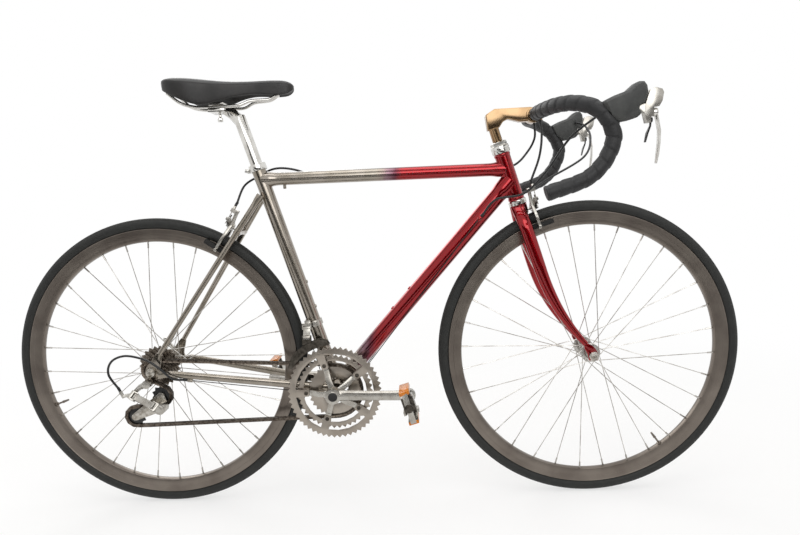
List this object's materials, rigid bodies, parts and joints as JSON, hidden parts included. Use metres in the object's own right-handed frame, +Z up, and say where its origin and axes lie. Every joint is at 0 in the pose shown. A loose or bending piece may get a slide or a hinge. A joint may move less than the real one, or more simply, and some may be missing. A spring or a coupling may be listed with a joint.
{
  "type": "road bicycle",
  "caption": "Road racing bicycle with a dropped bar, quill stem, side-pull brakes, triple chainrings and sprocket gears.",
  "frame": {"origin": "on the ground, midway between the two wheel axles", "axes": "+X forward, +Y to the rider's left, +Z up; the drive side faces -Y"},
  "size_m": [1.664, 0.453, 0.9805],
  "materials": {
    "frame": "candy metallic",
    "headset_cup_upper": "polished",
    "headset_cup_lower": "polished",
    "seat_collar": "polished",
    "fd_bracket": "polished",
    "rear_axle": "satin",
    "chain": "satin",
    "cable_rear_brake": "satin",
    "shift_cable_left": "satin",
    "shift_cable_right": "satin",
    "seatpost": "polished",
    "saddle_rails": "satin",
    "saddle": "satin",
    "fork": "candy metallic",
    "headset_locknut": "polished",
    "stem": "polished",
    "handlebar": "polished",
    "bar_tape_left": "matt padded",
    "bar_tape_right": "matt padded",
    "hood_left": "matt",
    "hood_right": "matt",
    "front_axle": "satin",
    "cable_front_brake": "satin",
    "front_tyre": "matt",
    "front_rim": "satin",
    "front_hub": "polished",
    "rear_tyre": "matt",
    "rear_rim": "satin",
    "rear_hub": "polished",
    "cassette": "satin",
    "crank_right": "polished",
    "crank_left": "polished",
    "chainring_52": "satin",
    "chainring_42": "satin",
    "chainring_30": "satin",
    "pedal_right": "satin",
    "pedal_left": "satin",
    "rd_b_knuckle": "polished",
    "rd_link_outer": "polished",
    "rd_link_inner": "polished",
    "rd_p_knuckle": "polished",
    "rd_cage": "satin",
    "guide_pulley": "satin",
    "tension_pulley": "satin",
    "fd_link": "polished",
    "fd_cage": "satin",
    "front_brake_arm_right": "polished",
    "front_brake_arm_left": "polished",
    "front_brake_qr": "satin",
    "rear_brake_arm_right": "polished",
    "rear_brake_arm_left": "polished",
    "rear_brake_qr": "satin",
    "front_qr_lever": "satin",
    "rear_qr_lever": "satin",
    "lever_head_left": "polished",
    "lever_blade_left": "polished",
    "paddle_left": "satin",
    "lever_head_right": "polished",
    "lever_blade_right": "polished",
    "paddle_right": "satin"
  },
  "bodies": {
    "frame_body": {"frame": "frame", "headset_cup_upper": "headset_cup_upper", "headset_cup_lower": "headset_cup_lower", "seat_collar": "seat_collar", "fd_bracket": "fd_bracket", "rear_axle": "rear_axle", "chain": "chain", "cable_rear_brake": "cable_rear_brake", "shift_cable_left": "shift_cable_left", "shift_cable_right": "shift_cable_right"},
    "seat_body": {"seatpost": "seatpost", "saddle_rails": "saddle_rails", "saddle": "saddle"},
    "fork_body": {"fork": "fork", "headset_locknut": "headset_locknut", "stem": "stem", "handlebar": "handlebar", "bar_tape_left": "bar_tape_left", "bar_tape_right": "bar_tape_right", "hood_left": "hood_left", "hood_right": "hood_right", "front_axle": "front_axle", "cable_front_brake": "cable_front_brake"},
    "front_wheel_body": {"front_tyre": "front_tyre", "front_rim": "front_rim", "front_hub": "front_hub"},
    "rear_wheel_body": {"rear_tyre": "rear_tyre", "rear_rim": "rear_rim", "rear_hub": "rear_hub"},
    "cassette_body": {"cassette": "cassette"},
    "crank_body": {"crank_right": "crank_right", "crank_left": "crank_left", "chainring_52": "chainring_52", "chainring_42": "chainring_42", "chainring_30": "chainring_30"},
    "pedal_right_body": {"pedal_right": "pedal_right"},
    "pedal_left_body": {"pedal_left": "pedal_left"},
    "rd_b_knuckle_body": {"rd_b_knuckle": "rd_b_knuckle"},
    "rd_link_outer_body": {"rd_link_outer": "rd_link_outer"},
    "rd_link_inner_body": {"rd_link_inner": "rd_link_inner"},
    "rd_p_knuckle_body": {"rd_p_knuckle": "rd_p_knuckle"},
    "rd_cage_body": {"rd_cage": "rd_cage"},
    "guide_pulley_body": {"guide_pulley": "guide_pulley"},
    "tension_pulley_body": {"tension_pulley": "tension_pulley"},
    "fd_link_body": {"fd_link": "fd_link"},
    "fd_cage_body": {"fd_cage": "fd_cage"},
    "front_brake_right_body": {"front_brake_arm_right": "front_brake_arm_right"},
    "front_brake_left_body": {"front_brake_arm_left": "front_brake_arm_left"},
    "front_brake_release_body": {"front_brake_qr": "front_brake_qr"},
    "rear_brake_right_body": {"rear_brake_arm_right": "rear_brake_arm_right"},
    "rear_brake_left_body": {"rear_brake_arm_left": "rear_brake_arm_left"},
    "rear_brake_release_body": {"rear_brake_qr": "rear_brake_qr"},
    "front_release_body": {"front_qr_lever": "front_qr_lever"},
    "rear_release_body": {"rear_qr_lever": "rear_qr_lever"},
    "lever_head_left_body": {"lever_head_left": "lever_head_left"},
    "lever_blade_left_body": {"lever_blade_left": "lever_blade_left"},
    "paddle_left_body": {"paddle_left": "paddle_left"},
    "lever_head_right_body": {"lever_head_right": "lever_head_right"},
    "lever_blade_right_body": {"lever_blade_right": "lever_blade_right"},
    "paddle_right_body": {"paddle_right": "paddle_right"}
  },
  "joints": [
    {"name": "seat_height", "type": "slide", "parent": "frame_body", "child": "seat_body", "axis": [-0.284, 0, 0.9588], "range_m": [-0.08, 0.04]},
    {"name": "steering", "type": "hinge", "parent": "frame_body", "child": "fork_body", "pos_m": [0.33806, 0, 0.6879], "axis": [-0.2924, 0, 0.9563], "range_deg": [-60, 60], "deforming": ["cable_rear_brake", "shift_cable_left", "shift_cable_right"]},
    {"name": "front_wheel_spin", "type": "hinge", "parent": "fork_body", "child": "front_wheel_body", "pos_m": [0.492, 0, 0.34], "axis": [0, 1, 0], "continuous": true},
    {"name": "rear_wheel_spin", "type": "hinge", "parent": "frame_body", "child": "rear_wheel_body", "pos_m": [-0.492, 0, 0.34], "axis": [0, 1, 0], "continuous": true},
    {"name": "crank_spin", "type": "hinge", "parent": "frame_body", "child": "crank_body", "pos_m": [-0.08658, 0, 0.2725], "axis": [0, 1, 0], "continuous": true, "deforming": ["chain"]},
    {"name": "cassette_spin", "type": "hinge", "parent": "frame_body", "child": "cassette_body", "pos_m": [-0.492, 0, 0.34], "axis": [0, 1, 0], "continuous": true},
    {"name": "pedal_right_spin", "type": "hinge", "parent": "crank_body", "child": "pedal_right_body", "pos_m": [0.08339, -0.14, 0.27547], "axis": [0, 1, 0], "continuous": true},
    {"name": "pedal_left_spin", "type": "hinge", "parent": "crank_body", "child": "pedal_left_body", "pos_m": [-0.25655, 0.14, 0.26953], "axis": [0, 1, 0], "continuous": true},
    {"name": "rear_mech_hang", "type": "hinge", "parent": "frame_body", "child": "rd_b_knuckle_body", "pos_m": [-0.5, 0, 0.3155], "axis": [0, 1, 0], "range_deg": [0, 12], "stiffness_Nm_per_rad": 1, "springref_deg": -17.19, "deforming": ["chain", "shift_cable_right"]},
    {"name": "rear_mech_shift", "type": "hinge", "parent": "rd_b_knuckle_body", "child": "rd_link_outer_body", "pos_m": [-0.53238, -0.07838, 0.28751], "axis": [0.4393, 0.5592, 0.703], "range_deg": [0, 47], "stiffness_Nm_per_rad": 1, "springref_deg": -22.92, "deforming": ["chain", "shift_cable_right"]},
    {"name": "rear_mech_inner_link", "type": "hinge", "parent": "rd_b_knuckle_body", "child": "rd_link_inner_body", "pos_m": [-0.53683, -0.06595, 0.28039], "axis": [0.4393, 0.5592, 0.703], "range_deg": [0, 47]},
    {"name": "rear_mech_lower_knuckle", "type": "hinge", "parent": "rd_link_outer_body", "child": "rd_p_knuckle_body", "pos_m": [-0.4875, -0.0905, 0.2691], "axis": [0.4393, 0.5592, 0.703], "range_deg": [-47, 0]},
    {"name": "rear_mech_cage", "type": "hinge", "parent": "rd_p_knuckle_body", "child": "rd_cage_body", "pos_m": [-0.4735, 0, 0.2591], "axis": [0, 1, 0], "range_deg": [-75, 0], "stiffness_Nm_per_rad": 0.5, "springref_deg": 28.65, "deforming": ["chain"]},
    {"name": "guide_pulley_spin", "type": "hinge", "parent": "rd_cage_body", "child": "guide_pulley_body", "pos_m": [-0.4782, -0.059, 0.2816], "axis": [0, 1, 0], "continuous": true},
    {"name": "tension_pulley_spin", "type": "hinge", "parent": "rd_cage_body", "child": "tension_pulley_body", "pos_m": [-0.54154, -0.059, 0.23456], "axis": [0, 1, 0], "continuous": true},
    {"name": "front_mech_shift", "type": "hinge", "parent": "frame_body", "child": "fd_link_body", "pos_m": [-0.14446, -0.029, 0.41999], "axis": [-1, 0, 0], "range_deg": [0, 40], "stiffness_Nm_per_rad": 0.5, "springref_deg": -22.92, "deforming": ["chain", "shift_cable_left"]},
    {"name": "front_mech_cage", "type": "hinge", "parent": "fd_link_body", "child": "fd_cage_body", "pos_m": [-0.14446, -0.039, 0.39999], "axis": [-1, 0, 0], "range_deg": [-40, 0]},
    {"name": "front_brake_right_arm", "type": "hinge", "parent": "fork_body", "child": "front_brake_right_body", "pos_m": [0.34639, 0, 0.66065], "axis": [0.9563, 0, 0.2924], "range_deg": [0, 2.4], "deforming": ["cable_front_brake"]},
    {"name": "front_brake_left_arm", "type": "hinge", "parent": "fork_body", "child": "front_brake_left_body", "pos_m": [0.34639, 0, 0.66065], "axis": [-0.9563, 0, -0.2924], "range_deg": [0, 2.4], "deforming": ["cable_front_brake"]},
    {"name": "rear_brake_right_arm", "type": "hinge", "parent": "frame_body", "child": "rear_brake_right_body", "pos_m": [-0.28865, 0, 0.64005], "axis": [0.8202, 0, -0.572], "range_deg": [0, 2], "deforming": ["cable_rear_brake"]},
    {"name": "rear_brake_left_arm", "type": "hinge", "parent": "frame_body", "child": "rear_brake_left_body", "pos_m": [-0.28865, 0, 0.64005], "axis": [-0.8202, 0, 0.572], "range_deg": [0, 2], "deforming": ["cable_rear_brake"]},
    {"name": "front_brake_release", "type": "hinge", "parent": "front_brake_left_body", "child": "front_brake_release_body", "pos_m": [0.37664, -0.02, 0.6814], "axis": [-0.9563, 0, -0.2924], "range_deg": [0, 90]},
    {"name": "rear_brake_release", "type": "hinge", "parent": "rear_brake_left_body", "child": "rear_brake_release_body", "pos_m": [-0.30696, -0.02, 0.66624], "axis": [-0.8202, 0, 0.572], "range_deg": [0, 90]},
    {"name": "front_wheel_release", "type": "hinge", "parent": "fork_body", "child": "front_release_body", "pos_m": [0.492, 0.064, 0.34], "axis": [-0.9272, 0, -0.3746], "range_deg": [0, 180]},
    {"name": "rear_wheel_release", "type": "hinge", "parent": "frame_body", "child": "rear_release_body", "pos_m": [-0.492, 0.079, 0.34], "axis": [-0.788, 0, -0.6157], "range_deg": [0, 180]},
    {"name": "brake_lever_right", "type": "hinge", "parent": "fork_body", "child": "lever_head_right_body", "pos_m": [0.53274, -0.21, 0.84834], "axis": [0, 1, 0], "range_deg": [0, 30], "stiffness_Nm_per_rad": 0.5, "springref_deg": -17.19, "deforming": ["cable_front_brake"]},
    {"name": "shift_blade_right", "type": "hinge", "parent": "lever_head_right_body", "child": "lever_blade_right_body", "pos_m": [0.55304, -0.21, 0.84134], "axis": [1, 0, 0], "range_deg": [0, 12], "stiffness_Nm_per_rad": 0.1, "springref_deg": -17.19, "deforming": ["shift_cable_right"]},
    {"name": "shift_paddle_right", "type": "hinge", "parent": "lever_head_right_body", "child": "paddle_right_body", "pos_m": [0.54704, -0.21, 0.82784], "axis": [1, 0, 0], "range_deg": [0, 15], "stiffness_Nm_per_rad": 0.02, "springref_deg": -17.19, "deforming": ["shift_cable_right"]},
    {"name": "brake_lever_left", "type": "hinge", "parent": "fork_body", "child": "lever_head_left_body", "pos_m": [0.53274, 0.21, 0.84834], "axis": [0, 1, 0], "range_deg": [0, 30], "stiffness_Nm_per_rad": 0.5, "springref_deg": -17.19, "deforming": ["cable_rear_brake"]},
    {"name": "shift_blade_left", "type": "hinge", "parent": "lever_head_left_body", "child": "lever_blade_left_body", "pos_m": [0.55304, 0.21, 0.84134], "axis": [-1, 0, 0], "range_deg": [0, 12], "stiffness_Nm_per_rad": 0.1, "springref_deg": -17.19, "deforming": ["shift_cable_left"]},
    {"name": "shift_paddle_left", "type": "hinge", "parent": "lever_head_left_body", "child": "paddle_left_body", "pos_m": [0.54704, 0.21, 0.82784], "axis": [-1, 0, 0], "range_deg": [0, 15], "stiffness_Nm_per_rad": 0.02, "springref_deg": -17.19, "deforming": ["shift_cable_left"]}
  ],
  "couplings": [
    {"joint": "cassette_spin", "follows": "crank_spin", "ratio": 2.5},
    {"joint": "guide_pulley_spin", "follows": "crank_spin", "ratio": -2.7273},
    {"joint": "tension_pulley_spin", "follows": "crank_spin", "ratio": 2.7273},
    {"joint": "rear_mech_inner_link", "follows": "rear_mech_shift", "ratio": 1},
    {"joint": "rear_mech_lower_knuckle", "follows": "rear_mech_shift", "ratio": -1},
    {"joint": "front_mech_cage", "follows": "front_mech_shift", "ratio": -1},
    {"joint": "front_brake_right_arm", "follows": "brake_lever_right", "ratio": 0.08},
    {"joint": "rear_brake_right_arm", "follows": "brake_lever_left", "ratio": 0.0666},
    {"joint": "front_brake_left_arm", "follows": "brake_lever_right", "ratio": 0.08},
    {"joint": "rear_brake_left_arm", "follows": "brake_lever_left", "ratio": 0.0666}
  ]
}
